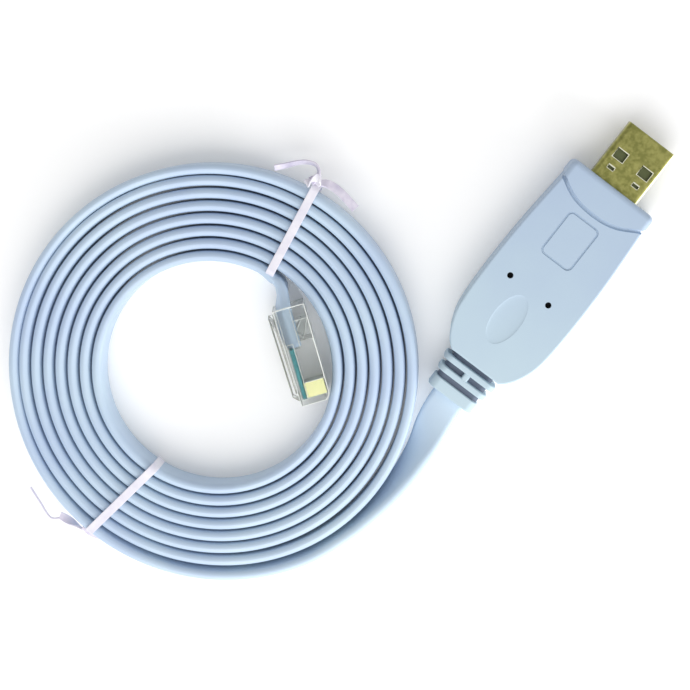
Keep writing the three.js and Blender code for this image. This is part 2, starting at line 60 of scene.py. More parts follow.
backward = (CAMERA_PLACE - CAMERA_AIM).normalized()
right = (CAMERA_RIGHT - backward * CAMERA_RIGHT.dot(backward)).normalized()
turn = Matrix((right, backward.cross(right), backward)).transposed().to_4x4()
camera = bpy.data.objects.new("camera", bpy.data.cameras.new("camera"))
camera.matrix_world = Matrix.Translation(CAMERA_PLACE) @ turn
camera.data.sensor_width = SENSOR_WIDTH
camera.data.sensor_fit = "HORIZONTAL"
camera.data.lens = LENS
bpy.context.collection.objects.link(camera)
bpy.context.scene.camera = camera
print("camera distance, mm:", round((CAMERA_PLACE - CAMERA_AIM).length / MM, 1))

# %% [markdown]
# Materials are node trees, and most of them need the same start: a Principled BSDF and a way to add a noise
# to its colour, its roughness or its bump. Two small helpers make the later cells short. The patterns read
# Object coordinates in metres, so a noise scale of 1000 gives grains of about a millimetre.

# %% Helpers for materials
def new_material(name, color, roughness, metallic=0.0):
    material = bpy.data.materials.new(name)
    material.use_nodes = True
    shader = material.node_tree.nodes["Principled BSDF"]
    shader.inputs["Base Color"].default_value = (*color, 1.0)
    shader.inputs["Roughness"].default_value = roughness
    shader.inputs["Metallic"].default_value = metallic
    return material, shader


def add_noise(material, scale, detail=3.0, stretch=(1.0, 1.0, 1.0)):
    nodes = material.node_tree.nodes
    links = material.node_tree.links
    place = nodes.new("ShaderNodeTexCoord")
    mapping = nodes.new("ShaderNodeMapping")
    mapping.inputs["Scale"].default_value = stretch
    noise = nodes.new("ShaderNodeTexNoise")
    noise.inputs["Scale"].default_value = scale
    noise.inputs["Detail"].default_value = detail
    links.new(place.outputs["Object"], mapping.inputs["Vector"])
    links.new(mapping.outputs["Vector"], noise.inputs["Vector"])
    return noise


def vary_color(material, shader, noise, low, high, start=0.3, end=0.7):
    ramp = material.node_tree.nodes.new("ShaderNodeValToRGB")
    ramp.color_ramp.elements[0].position = start
    ramp.color_ramp.elements[0].color = (*low, 1.0)
    ramp.color_ramp.elements[1].position = end
    ramp.color_ramp.elements[1].color = (*high, 1.0)
    material.node_tree.links.new(noise.outputs[0], ramp.inputs["Fac"])
    material.node_tree.links.new(ramp.outputs["Color"], shader.inputs["Base Color"])


def vary_roughness(material, shader, noise, low, high):
    span = material.node_tree.nodes.new("ShaderNodeMapRange")
    span.inputs["To Min"].default_value = low
    span.inputs["To Max"].default_value = high
    material.node_tree.links.new(noise.outputs["Fac"], span.inputs["Value"])
    material.node_tree.links.new(span.outputs["Result"], shader.inputs["Roughness"])


def add_bump(material, shader, noise, strength, height):
    bump = material.node_tree.nodes.new("ShaderNodeBump")
    bump.inputs["Strength"].default_value = strength
    bump.inputs["Distance"].default_value = height
    material.node_tree.links.new(noise.outputs["Fac"], bump.inputs["Height"])
    material.node_tree.links.new(bump.outputs["Normal"], shader.inputs["Normal"])


def add_fade(material, start, end, noise_scale=70.0, unevenness=0.35):
    """A fade along Y from start to end, in metres, broken up a little by a soft noise."""
    nodes = material.node_tree.nodes
    links = material.node_tree.links
    noise = add_noise(material, noise_scale)
    place = nodes.new("ShaderNodeTexCoord")
    split = nodes.new("ShaderNodeSeparateXYZ")
    span = nodes.new("ShaderNodeMapRange")
    span.inputs["From Min"].default_value = start
    span.inputs["From Max"].default_value = end
    mix = nodes.new("ShaderNodeMix")
    mix.inputs["Factor"].default_value = unevenness
    links.new(place.outputs["Object"], split.inputs["Vector"])
    links.new(split.outputs["Y"], span.inputs["Value"])
    links.new(span.outputs["Result"], mix.inputs[2])
    links.new(noise.outputs["Fac"], mix.inputs[3])
    return mix


# %% [markdown]
# The housing and the cable's jacket are the same soft vinyl, in a pale blue with a little violet. The
# moulded housing has a fine spark-eroded grain, and the extruded jacket is smoother. A noise with a short
# wavelength makes the grain, and a long one makes the faint unevenness of a dyed plastic. The housing also
# fades from its plug end to its relief, because that is how the light falls on it in the photograph.

# %% Vinyl finishes
HOUSING_PALE = (0.49, 0.62, 0.69)
HOUSING_DEEP = (0.36, 0.45, 0.62)
JACKET_PALE = (0.54, 0.67, 0.78)
JACKET_DEEP = (0.46, 0.57, 0.74)
FADE_START = 0.035
FADE_END = -0.03

housing_vinyl, shader = new_material("housing_vinyl", HOUSING_PALE, 0.55)
fade = add_fade(housing_vinyl, FADE_START, FADE_END)
vary_color(housing_vinyl, shader, fade, HOUSING_DEEP, HOUSING_PALE, 0.1, 0.9)
add_bump(housing_vinyl, shader, add_noise(housing_vinyl, 5000.0, 2.0), 0.25, 0.00005)

jacket_vinyl, shader = new_material("jacket_vinyl", JACKET_PALE, 0.42)
vary_color(jacket_vinyl, shader, add_noise(jacket_vinyl, 45.0), JACKET_DEEP, JACKET_PALE)
add_bump(jacket_vinyl, shader, add_noise(jacket_vinyl, 1800.0, 2.0), 0.15, 0.00005)
# The relief's core, deep between its rings, is a dark slate: painted shade in its grooves, since the whole
# relief is one moulding with the body.
groove_painted_shade, shader = new_material("groove_painted_shade", (0.12, 0.15, 0.21), 0.6)
print("vinyl finishes:", housing_vinyl.name, jacket_vinyl.name, groove_painted_shade.name)

# %% [markdown]
# The plug's shell is steel under a thin, slightly olive gold plating. Fine brushing along the plug and a
# fine mottle of darker spots keep it from looking like a mirror. Its edges get a painted highlight in a paler
# finish, the spring leaves inside lie in shade, and the contact blades in the clear plug are a brighter
# yellow gold.

# %% Metal finishes
GOLD_PALE = (0.40, 0.385, 0.13)
GOLD_DEEP = (0.25, 0.25, 0.075)

shell_gold, shader = new_material("shell_gold", GOLD_PALE, 0.3, metallic=1.0)
mottle = add_noise(shell_gold, 900.0, 9.0)
vary_color(shell_gold, shader, mottle, GOLD_DEEP, GOLD_PALE, 0.38, 0.62)
brushing = add_noise(shell_gold, 2500.0, 2.0, stretch=(1.0, 0.05, 1.0))
vary_roughness(shell_gold, shader, brushing, 0.25, 0.42)
add_bump(shell_gold, shader, brushing, 0.1, 0.00003)

shell_painted_highlight, shader = new_material("shell_painted_highlight", (0.80, 0.79, 0.62), 0.45, metallic=0.2)
leaf_gold, shader = new_material("leaf_gold", (0.15, 0.17, 0.08), 0.4, metallic=0.8)

contact_gold, shader = new_material("contact_gold", (0.95, 0.93, 0.50), 0.25, metallic=1.0)
vary_roughness(contact_gold, shader, add_noise(contact_gold, 1500.0), 0.18, 0.32)
print("metal finishes:", shell_gold.name, shell_painted_highlight.name, leaf_gold.name, contact_gold.name)

# %% [markdown]
# The tongue in the shell is a dark moulded insulator. The cores in the clear plug have thin coloured
# insulation, and the ties are a white plastic ribbon over a wire. Where a tie's end is only the thin
# ribbon, it looks a little violet.

# %% Plastic finishes
TEAL_DEEP = (0.06, 0.32, 0.36)
TEAL_PALE = (0.14, 0.48, 0.50)
TIE_SHADE = (0.72, 0.70, 0.80)
TIE_WHITE = (0.86, 0.84, 0.89)
FILM_SHADE = (0.56, 0.52, 0.66)
FILM_PALE = (0.78, 0.74, 0.84)

insulator, shader = new_material("insulator", (0.03, 0.033, 0.037), 0.5)
add_bump(insulator, shader, add_noise(insulator, 3000.0), 0.2, 0.00005)

core_plastic, shader = new_material("core_plastic", (0.06, 0.30, 0.33), 0.35)
vary_color(core_plastic, shader, add_noise(core_plastic, 200.0), TEAL_DEEP, TEAL_PALE)

tie_plastic, shader = new_material("tie_plastic", (0.86, 0.84, 0.88), 0.4)
vary_color(tie_plastic, shader, add_noise(tie_plastic, 300.0), TIE_SHADE, TIE_WHITE)
add_bump(tie_plastic, shader, add_noise(tie_plastic, 1500.0), 0.2, 0.0001)

tie_film, shader = new_material("tie_film", (0.66, 0.60, 0.76), 0.4)
vary_color(tie_film, shader, add_noise(tie_film, 400.0), FILM_SHADE, FILM_PALE)

# The walls of the two small holes in the housing get a near-black painted shade.
hole_painted_shade, shader = new_material("hole_painted_shade", (0.02, 0.022, 0.028), 0.7)
print("plastic finishes:", insulator.name, core_plastic.name, tie_plastic.name, tie_film.name, hole_painted_shade.name)

# %% [markdown]
# The far plug is clear polycarbonate. Full transmission alone would make it nearly vanish on a white table,
# so a little of its own colour stays, through an alpha just below one. Its edges gather light: they look
# pale against the coil and grey against the table, so two plain finishes stand in for that.

# %% Clear finishes
clear_plastic, shader = new_material("clear_plastic", (0.97, 0.99, 0.98), 0.05)
shader.inputs["Alpha"].default_value = 0.85
shader.inputs["Transmission Weight"].default_value = 1.0
shader.inputs["IOR"].default_value = 1.42
shader.inputs["Specular IOR Level"].default_value = 0.8
vary_roughness(clear_plastic, shader, add_noise(clear_plastic, 400.0), 0.02, 0.08)

clear_edge, shader = new_material("clear_edge", (0.56, 0.56, 0.48), 0.2)
shader.inputs["Alpha"].default_value = 0.85

clear_gleam, shader = new_material("clear_gleam", (0.95, 0.98, 0.93), 0.2)
shader.inputs["Alpha"].default_value = 0.9
print("clear finishes:", clear_plastic.name, clear_edge.name, clear_gleam.name)

# %% [markdown]
# A flat cable is a ribbon: a section swept along a line, with a direction across it at each point. A curve
# with a bevel object and tilts would do for a gentle bend, but this cable stands on edge through almost
# eight turns, so the rings of the section are placed in code. The ties are ribbons too.

# %% Helpers for ribbons
def rounded_section(width, thickness, radius, steps):
    section = []
    for side, (x, y) in enumerate(((1, 1), (-1, 1), (-1, -1), (1, -1))):
        for step in range(steps + 1):
            angle = math.radians(90 * (side + step / steps))
            across = x * (width / 2 - radius) + radius * math.cos(angle)
            through = y * (thickness / 2 - radius) + radius * math.sin(angle)
            section.append((across, through))
    return section


def ribbon(name, points, sideways, section, closed=False):
    count = len(points)
    size = len(section)
    corners = []
    for i, point in enumerate(points):
        before = points[(i - 1) % count] if closed else points[max(i - 1, 0)]
        after = points[(i + 1) % count] if closed else points[min(i + 1, count - 1)]
        along = (after - before).normalized()
        across = (sideways[i] - along * sideways[i].dot(along)).normalized()
        through = along.cross(across)
        corners += [(point + across * a + through * t) * MM for a, t in section]
    faces = []
    for i in range(count if closed else count - 1):
        here = i * size
        there = (i + 1) % count * size
        for k in range(size):
            following = (k + 1) % size
            faces.append((here + k, here + following, there + following, there + k))
    if not closed:
        faces.append(tuple(reversed(range(size))))
        faces.append(tuple(range((count - 1) * size, count * size)))
    mesh = bpy.data.meshes.new(name)
    mesh.from_pydata(corners, [], faces)
    piece = bpy.data.objects.new(name, mesh)
    bpy.context.collection.objects.link(piece)
    return piece


def smooth_line(points, spacing):
    """A Catmull-Rom line through points of any number of coordinates, in steps of about spacing."""
    line = []
    for i in range(len(points) - 1):
        before = points[max(i - 1, 0)]
        start = points[i]
        end = points[i + 1]
        after = points[min(i + 2, len(points) - 1)]
        steps = max(1, math.ceil(math.dist(start[:3], end[:3]) / spacing))
        for step in range(steps):
            t = step / steps
            line.append([
                0.5 * (
                    2 * q
                    + (r - p) * t
                    + (2 * p - 5 * q + 4 * r - s) * t**2
                    + (3 * q - p - 3 * r + s) * t**3
                )
                for p, q, r, s in zip(before, start, end, after)
            ])
    line.append(list(points[-1]))
    return line


# %% [markdown]
# The cable leaves the strain relief flat, rolls up on edge beside the coil, and winds inwards on edge for
# 7.65 turns. From the coil's bore it runs into the clear plug. Each point has a roll: 0 is flat, and -90
# stands on edge. A real coil isn't a perfect spiral: here the outermost turn starts with a slight lean, is
# drawn in a little and then eased out, which gives the uneven outer gap of the photograph.

# %% The cable's route
CABLE_WIDTH = 7.8
CABLE_THICKNESS = 2.26
CABLE_CORNER = 1.12
PITCH = 2.75
COIL_CENTRE = (-44.8, -62.4)
COIL_TURNS = 7.65
BORE_RADIUS = 25.3
BORE_ANGLE = 101.9
POINTS_PER_TURN = 36
LEAN = 10.0
LEAN_TURNS = 0.3
FOOT_HALF = 0.7
TIGHTENED = 0.45
TIGHT_TURNS = 0.8
LOOSENED = 0.35
LOOSE_TURNS = 0.35
ROUTE_STEP = 1.6

LEAD = [
    (0.0, -33.6, 4.9, 0),
    (0.1, -36.5, 4.9, 0),
    (0.4, -39.5, 4.85, -8),
    (1.0, -43.0, 4.7, -20),
    (1.8, -46.5, 4.5, -36),
    (2.4, -50.0, 4.3, -48),
    (2.8, -54.0, 4.2, -56),
    (2.9, -58.5, 4.15, -64),
    (2.7, -63.0, 4.1, -70),
    (2.1, -68.0, 4.05, -76),
    (1.1, -73.0, 4.0, -79),
]
TAIL = [
    (-46.4, -37.8, 4.0, -90),
    (-44.7, -38.0, 4.3, -90),
    (-42.9, -39.4, 5.2, -80),
    (-41.1, -41.5, 6.3, -70),
    (-39.0, -43.3, 6.4, -66),
    (-36.0, -45.6, 6.4, -66),
    (-33.9, -47.0, 6.4, -70),
]


def coil_route():
    steps = round(COIL_TURNS * POINTS_PER_TURN)
    route = []
    for step in range(steps + 1):
        turned = COIL_TURNS * step / steps
        angle = math.radians(BORE_ANGLE + 360 * (COIL_TURNS - turned))
        lean = LEAN * max(0.0, 1 - turned / LEAN_TURNS)
        tip = math.sin(math.radians(lean))
        radius = BORE_RADIUS + PITCH * (COIL_TURNS - turned) + CABLE_WIDTH / 2 * tip
        if turned < TIGHT_TURNS:
            radius -= TIGHTENED * math.sin(math.pi * turned / TIGHT_TURNS) ** 2
        elif turned < TIGHT_TURNS + LOOSE_TURNS:
            radius += LOOSENED * math.sin(math.pi * (turned - TIGHT_TURNS) / LOOSE_TURNS) ** 2
        height = CABLE_WIDTH / 2 * math.cos(math.radians(lean)) + FOOT_HALF * tip
        x = COIL_CENTRE[0] + radius * math.cos(angle)
        y = COIL_CENTRE[1] + radius * math.sin(angle)
        route.append((x, y, height, lean - 90))
    return route


cable_route = smooth_line(LEAD + coil_route() + TAIL, ROUTE_STEP)
cable_points = [Vector(row[:3]) for row in cable_route]
cable_length = sum((b - a).length for a, b in zip(cable_points, cable_points[1:]))
print("cable length, mm:", round(cable_length), "points:", len(cable_points))

# %% [markdown]
# The roll at each point turns the ribbon's width about the line. The section's narrow sides are almost
# round, which gives each turn its own bright edge and leaves a dark line between neighbours.

# %% The cable
def cable_sideways(points, route):
    sideways = []
    for i, row in enumerate(route):
        along = (points[min(i + 1, len(points) - 1)] - points[max(i - 1, 0)]).normalized()
        side = along.cross(Vector((0, 0, 1))).normalized()
        roll = math.radians(row[3])
        sideways.append(side * math.cos(roll) + side.cross(along) * math.sin(roll))
    return sideways


cable = ribbon(
    "flat_cable",
    cable_points,
    cable_sideways(cable_points, cable_route),
    rounded_section(CABLE_WIDTH, CABLE_THICKNESS, CABLE_CORNER, 4),
)
cable.data.materials.append(jacket_vinyl)
cable.data.shade_smooth()
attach(cable, "root")
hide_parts("cable_lead", "cable_coil", "cable_tail")
print("cable faces:", len(cable.data.polygons))

# %% [markdown]
# The housing starts as a filled circle whose vertices move onto the outline, which is extruded and has its
# rims rounded by a bevel. Small helpers make such blocks, apply a modifier, soften edges, cut one piece with
# another, join pieces and give them their finish. The Boolean modifier's exact solver keeps clean edges
# where a thin groove meets a round rim.

# %% Helpers for blocks
def modify(piece, kind, **settings):
    bpy.context.view_layer.objects.active = piece
    modifier = piece.modifiers.new(kind.lower(), kind)
    for name, value in settings.items():
        setattr(modifier, name, value)
    bpy.ops.object.modifier_apply(modifier=modifier.name)


def block(name, outline, low, high):
    corners = len(outline)
    bpy.ops.mesh.primitive_circle_add(vertices=corners, radius=MM, fill_type="NGON", location=(0, 0, 0))
    piece = bpy.context.object
    piece.name = name
    for vertex, (x, y) in zip(piece.data.vertices, outline):
        vertex.co = (x * MM, y * MM, low * MM)
    bpy.ops.object.mode_set(mode="EDIT")
    bpy.ops.mesh.select_all(action="SELECT")
    bpy.ops.mesh.extrude_region_move(TRANSFORM_OT_translate={"value": (0, 0, (high - low) * MM)})
    bpy.ops.mesh.select_all(action="SELECT")
    bpy.ops.mesh.normals_make_consistent(inside=False)
    bpy.ops.object.mode_set(mode="OBJECT")
    return piece


def soften(piece, width, segments, angle=40, edge_slot=-1):
    modify(
        piece,
        "BEVEL",
        material=edge_slot,
        width=width * MM,
        segments=segments,
        limit_method="ANGLE",
        angle_limit=math.radians(angle),
        use_clamp_overlap=True,
    )


def cut(piece, *cutters):
    for cutter in cutters:
        modify(piece, "BOOLEAN", operation="DIFFERENCE", solver="EXACT", object=cutter)
        bpy.data.objects.remove(cutter)


def join(piece, *others):
    bpy.ops.object.select_all(action="DESELECT")
    for other in (piece, *others):
        other.select_set(True)
    bpy.context.view_layer.objects.active = piece
    bpy.ops.object.join()


def dress(piece, material, angle=35):
    bpy.ops.object.select_all(action="DESELECT")
    piece.select_set(True)
    bpy.context.view_layer.objects.active = piece
    bpy.ops.object.shade_smooth_by_angle(angle=math.radians(angle))
    modify(piece, "WEIGHTED_NORMAL", keep_sharp=True)
    if not piece.data.materials:
        piece.data.materials.append(material)
    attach(piece, "root")


def mirrored(half_outline):
    """A closed outline from its right half, listed from the front to the back."""
    return half_outline + [(-x, y) for x, y in reversed(half_outline)]


# %% [markdown]
# The body is widest a little behind its middle and closes in to the neck of the strain relief. The cap is
# square at the plug end and ends in a shallow arc, and it stands a third of a millimetre proud of the body.

# %% The housing's body and cap
BODY_LOW = 0.15
BODY_TOP = 9.45
BODY_RIM = 2.5
CAP_TOP = 9.8
CAP_RIM = 1.3
CAP_HALF = 10.65
CAP_FRONT = 22.3
CAP_BACK = 12.0
UNDER_ARC_BACK = 5.0
CUTTER_LOW = -1.0
CUTTER_TOP = 12.0
BODY_HALF = [
    (10.2, 21.0),
    (10.4, 18.0),
    (10.85, 12.0),
    (11.25, 6.0),
    (11.5, -1.0),
    (11.55, -7.0),
    (11.4, -13.0),
    (10.95, -17.8),
    (10.0, -21.0),
    (8.7, -23.6),
    (7.4, -25.2),
    (6.3, -26.0),
]
ARC = [
    (-12.5, 19.1),
    (-10.6, 18.9),
    (-9.6, 18.2),
    (-8.0, 17.15),
    (-5.6, 16.15),
    (-2.9, 15.65),
    (0.0, 15.5),
    (2.9, 15.75),
    (5.6, 16.5),
    (8.0, 17.75),
    (9.6, 18.75),
    (10.6, 19.2),
    (12.5, 19.3),
]

housing = block("housing_body", mirrored(smooth_line(BODY_HALF, 0.8)), BODY_LOW, BODY_TOP)
soften(housing, BODY_RIM, 8)

arc = smooth_line(ARC, 0.5)
cap_outline = [(-CAP_HALF, CAP_FRONT), (-CAP_HALF, CAP_BACK), (CAP_HALF, CAP_BACK), (CAP_HALF, CAP_FRONT)]
cap = block("cap", cap_outline, 0.0, CAP_TOP)
soften(cap, CAP_RIM, 5)
under_arc = [(ARC[0][0], UNDER_ARC_BACK), *arc, (ARC[-1][0], UNDER_ARC_BACK)]
cut(cap, block("under_arc", under_arc, CUTTER_LOW, CUTTER_TOP))
modify(housing, "BOOLEAN", operation="UNION", solver="EXACT", object=cap)
bpy.data.objects.remove(cap)
print("housing faces:", len(housing.data.polygons))

# %% [markdown]
# A groove follows the arc. It is cut with a ribbon that lies on the housing's surface: level on top, then
# over the round edge, where it gets shallower, and down the side, which it only just marks.

# %% The groove at the cap
GROOVE_WIDTH = 0.85
GROOVE_DEPTH = 0.5
GROOVE_RISE = 0.2
GROOVE_FADE = 0.35
GROOVE_FOOT = 3.0
FOOT_GAP = 0.65
SIDE = 10.5
groove_line = []
for x, y in arc:
    over = min(max(abs(x) - (SIDE - BODY_RIM), 0.0), BODY_RIM)
    turn = over / BODY_RIM
    lift = GROOVE_RISE + GROOVE_FADE * turn
    drop = BODY_RIM - math.sqrt(BODY_RIM**2 - over**2)
    if abs(x) < SIDE:
        outer_x = x + math.copysign(lift * turn, x)
        outer_z = BODY_TOP - drop + lift * math.sqrt(1 - turn**2)
        groove_line.append(Vector((outer_x, y - GROOVE_WIDTH / 2, outer_z)))
left_end = Vector((-SIDE - FOOT_GAP, groove_line[0].y, GROOVE_FOOT))
right_end = Vector((SIDE + FOOT_GAP, groove_line[-1].y, GROOVE_FOOT))
groove_line = [left_end, *groove_line, right_end]
groove_section = rounded_section(GROOVE_WIDTH, 2 * (GROOVE_DEPTH + GROOVE_RISE), 0.3, 4)
cut(housing, ribbon("groove", groove_line, [Vector((0, 1, 0))] * len(groove_line), groove_section))
print("groove points:", len(groove_line))

# %% [markdown]
# The top face has a sunk outline with nothing inside it. An inset of the face would need a face of that
# shape first, so the line is cut with a closed ribbon, as the groove was.

# %% The sunk outline
FRAME_LEFT, FRAME_RIGHT = -4.45, 3.15
FRAME_BACK, FRAME_FRONT = 2.5, 13.1
FRAME_RADIUS = 1.1
FRAME_STEPS = 6
FRAME_LINE = 0.45
MARK_DEPTH = 0.3
FRAME_CORNERS = (
    (FRAME_RIGHT - FRAME_RADIUS, FRAME_FRONT - FRAME_RADIUS),
    (FRAME_LEFT + FRAME_RADIUS, FRAME_FRONT - FRAME_RADIUS),
    (FRAME_LEFT + FRAME_RADIUS, FRAME_BACK + FRAME_RADIUS),
    (FRAME_RIGHT - FRAME_RADIUS, FRAME_BACK + FRAME_RADIUS),
)
frame_points = []
for corner, (x, y) in enumerate(FRAME_CORNERS):
    for step in range(FRAME_STEPS + 1):
        angle = math.radians(90 * (corner + step / FRAME_STEPS))
        corner_x = x + FRAME_RADIUS * math.cos(angle)
        corner_y = y + FRAME_RADIUS * math.sin(angle)
        frame_points.append(Vector((corner_x, corner_y, BODY_TOP)))
frame_sideways = []
for i, point in enumerate(frame_points):
    along = frame_points[(i + 1) % len(frame_points)] - frame_points[i - 1]
    frame_sideways.append(along.cross(Vector((0, 0, 1))))
frame_section = rounded_section(FRAME_LINE, 2 * MARK_DEPTH, 0.12, 2)
cut(housing, ribbon("frame_line", frame_points, frame_sideways, frame_section, closed=True))
print("outline, mm:", round(FRAME_RIGHT - FRAME_LEFT, 2), "by", round(FRAME_FRONT - FRAME_BACK, 2))

# %% [markdown]
# The thumb recess is a shallow oval, cut with a flattened sphere. The two small holes look dark inside. Their
# cutters carry a near-black painted shade, which the Boolean modifier passes on to the walls that it makes.

# %% The thumb recess and the pin holes
THUMB_PLACE = (-0.9, -13.6)
THUMB_HALF = (3.2, 6.2, 0.22)
HOLE_PLACES = ((-6.2, -5.6), (4.2, -5.8))
HOLE_RADIUS = 0.68
HOLE_CUTTER = 4

bpy.ops.mesh.primitive_uv_sphere_add(segments=64, ring_count=32, radius=MM, location=(0, 0, 0))
thumb = bpy.context.object
thumb.scale = THUMB_HALF
thumb.location = (THUMB_PLACE[0] * MM, THUMB_PLACE[1] * MM, BODY_TOP * MM)
bpy.ops.object.transform_apply(location=True, rotation=False, scale=True)
cut(housing, thumb)

housing.data.materials.append(housing_vinyl)
housing.data.materials.append(hole_painted_shade)
for x, y in HOLE_PLACES:
    place = (x * MM, y * MM, BODY_TOP * MM)
    size = HOLE_RADIUS * MM
    bpy.ops.mesh.primitive_cylinder_add(vertices=32, radius=size, depth=HOLE_CUTTER * MM, location=place)
    drill = bpy.context.object
    drill.data.materials.append(hole_painted_shade)
    modify(housing, "BOOLEAN", operation="DIFFERENCE", solver="EXACT", object=drill, material_mode="TRANSFER")
    bpy.data.objects.remove(drill)
print("housing faces with its marks:", len(housing.data.polygons))

# %% [markdown]
# The strain relief is a core with three rings. A short web joins the first two of them, and the last ring is
# the collar round the cable. Cutting slots into one block would do too, but bars joined on a core get round
# rims on both sides of every slot. Each row has the bar's front and back, its width and height, and the
# radius of its corners and rims.

# %% The strain relief
RELIEF_MIDDLE = 4.8
RELIEF_CORE = (-25.0, -34.0, 10.6, 5.0, 1.4, 0.1)
RELIEF_WEB = (-28.0, -30.6, 1.5, 7.4, 0.4, 0.1)
RELIEF_RINGS = (
    (-27.2, -28.55, 13.3, 8.0, 1.9, 0.3),
    (-29.9, -31.25, 12.4, 7.5, 1.9, 0.3),
    (-32.6, -35.3, 11.5, 6.8, 1.9, 0.3),
)


def bar(name, front, back, width, height, corner, rim, material, middle=RELIEF_MIDDLE):
    ends = [Vector((0, front, middle)), Vector((0, back, middle))]
    piece = ribbon(name, ends, [Vector((1, 0, 0))] * 2, rounded_section(width, height, corner, 6))
    piece.data.materials.append(material)
    soften(piece, rim, 3)
    return piece


# The core between the rings carries the painted shade of the grooves.
relief = [bar("relief_core", *RELIEF_CORE, groove_painted_shade)]
relief.append(bar("relief_web", *RELIEF_WEB, housing_vinyl))
relief += [bar("relief_ring", *ring, housing_vinyl) for ring in RELIEF_RINGS]
join(housing, *relief)
dress(housing, housing_vinyl)
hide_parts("housing")
print("housing length, mm:", round(housing.dimensions.y / MM, 1))

# %% [markdown]
# The shell is a folded tube with two windows and two small slots in each of its wide faces. The hollow, the
# windows and the slots are cut out of a bar. A fine bevel in a paler finish paints a highlight on every cut
# edge, and the fold at the right, which faces the lamp, gets that painted highlight too.

# %% The USB shell
SHELL_MIDDLE = 4.9
SHELL_TIP = 35.3
SHELL_BACK = 17.3
SHELL_OUTSIDE = (12.0, 4.5, 0.9, 0.08)
SHELL_INSIDE = (11.4, 3.9, 0.4, 0.01)
OPENING_X = 3.25
WINDOW = (1.3, 27.4, 29.6)
SLOT = (0.8, 24.9, 25.65)
SHELL_BEVEL = 0.17
FOLD_SIDEWAYS = 0.45
FOLD_UPWARDS = 0.3

shell = bar("usb_shell_skin", SHELL_TIP, SHELL_BACK, *SHELL_OUTSIDE, shell_gold, SHELL_MIDDLE)
cutters = [bar("hollow", SHELL_TIP + 1, SHELL_BACK + 0.4, *SHELL_INSIDE, shell_gold, SHELL_MIDDLE)]
for side in (-1, 1):
    x = side * OPENING_X
    for half, back, front in (WINDOW, SLOT):
        opening = [(x - half, back), (x + half, back), (x + half, front), (x - half, front)]
        cutters.append(block("opening", opening, 0, CUTTER_TOP))
cut(shell, *cutters)
# The paler second finish is a painted highlight: on the fold that faces the lamp and, through the bevel, on
# every cut edge.
shell.data.materials.append(shell_painted_highlight)
for face in shell.data.polygons:
    if face.normal.x > FOLD_SIDEWAYS and face.normal.z > FOLD_UPWARDS:
        face.material_index = 1
soften(shell, SHELL_BEVEL, 2, 50, edge_slot=1)
print("shell faces:", len(shell.data.polygons))

# %% [markdown]
# Behind each window a spring leaf of the same metal presses on the socket, darker because it lies in shade.
# Stamping leaves a raised burr round each opening; its paler finish is a painted highlight on its front and
# sides.

# %% The spring leaves and the burrs
LEAF_BACK = (24.2, 6.2)
LEAF_FRONT = (30.2, 5.8)
LEAF_SECTION = rounded_section(3.0, 0.2, 0.05, 1)
WINDOW_BURR = (1.38, 27.3, 29.68)
SLOT_BURR = (0.85, 25.2, 25.68)
BURR_HEIGHT = 7.16
BURR_RETURN = 0.5
BURR_SECTION = rounded_section(0.22, 0.1, 0.04, 1)
BURR_ACROSS = [Vector((1, 0, 0)), Vector((1, 1, 0)), Vector((-1, 1, 0)), Vector((-1, 0, 0))]

leaves = []
for side in (-1, 1):
    x = side * OPENING_X
    leaf_line = [Vector((x, *LEAF_BACK)), Vector((x, *LEAF_FRONT))]
    leaf = ribbon("leaf", leaf_line, [Vector((1, 0, 0))] * 2, LEAF_SECTION)
    leaf.data.materials.append(leaf_gold)
    leaves.append(leaf)
    for half, back, front in (WINDOW_BURR, SLOT_BURR):
        corners = ((x - half, back), (x - half, front), (x + half, front), (x + half, front - BURR_RETURN))
        burr_line = [Vector((*corner, BURR_HEIGHT)) for corner in corners]
        burr = ribbon("burr", burr_line, BURR_ACROSS, BURR_SECTION)
        # The burr's paler finish is a painted highlight.
        burr.data.materials.append(shell_painted_highlight)
        leaves.append(burr)
join(shell, *leaves)
dress(shell, shell_gold)
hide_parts("usb_shell")
print("leaves and burrs:", len(leaves))

# %% [markdown]
# Each tie is a flat strap round the coil's section, twisted together outside it, with loose tails. The strap
# is a closed ribbon round a rectangle with round corners. Its middle lies on the coil, and a heading turns it
# a little away from the radius, as a strap that was pulled tight by hand.

# %% The straps of the ties
TIE_WIDTH = 1.9
TIE_THICKNESS = 0.4
TIE_PLACES = {"upper": (97.0, 98.5), "lower": (-88.5, -98.5)}
COIL_MIDDLE = 36.1
LOOP_HALF = 11.0
LOOP_LOW, LOOP_HIGH = 0.1, 8.5
LOOP_CORNER = 1.3
CORNER_STEPS = 5
tie_section = rounded_section(TIE_WIDTH, TIE_THICKNESS, 0.15, 2)


def flat_direction(degrees):
    return Vector((math.cos(math.radians(degrees)), math.sin(math.radians(degrees)), 0))


def loop_points(angle, heading):
    centre = Vector((COIL_CENTRE[0], COIL_CENTRE[1], 0)) + COIL_MIDDLE * flat_direction(angle)
    outwards = flat_direction(heading)
    points = []
    for corner, (x, z) in enumerate(((1, 1), (-1, 1), (-1, 0), (1, 0))):
        for step in range(CORNER_STEPS + 1):
            turned = math.radians(90 * (corner + step / CORNER_STEPS))
            middle = LOOP_HIGH - LOOP_CORNER if z else LOOP_LOW + LOOP_CORNER
            along = x * (LOOP_HALF - LOOP_CORNER) + LOOP_CORNER * math.cos(turned)
            points.append(centre + outwards * along + Vector((0, 0, middle + LOOP_CORNER * math.sin(turned))))
    return points, outwards.cross(Vector((0, 0, 1)))


# %% [markdown]
# The tails are ribbons on smooth lines, and each point has a roll in degrees, so that the twist and the curls
# can be read off the last column. Most of a tail is thin film, and the last of the lower tails is bare wire.

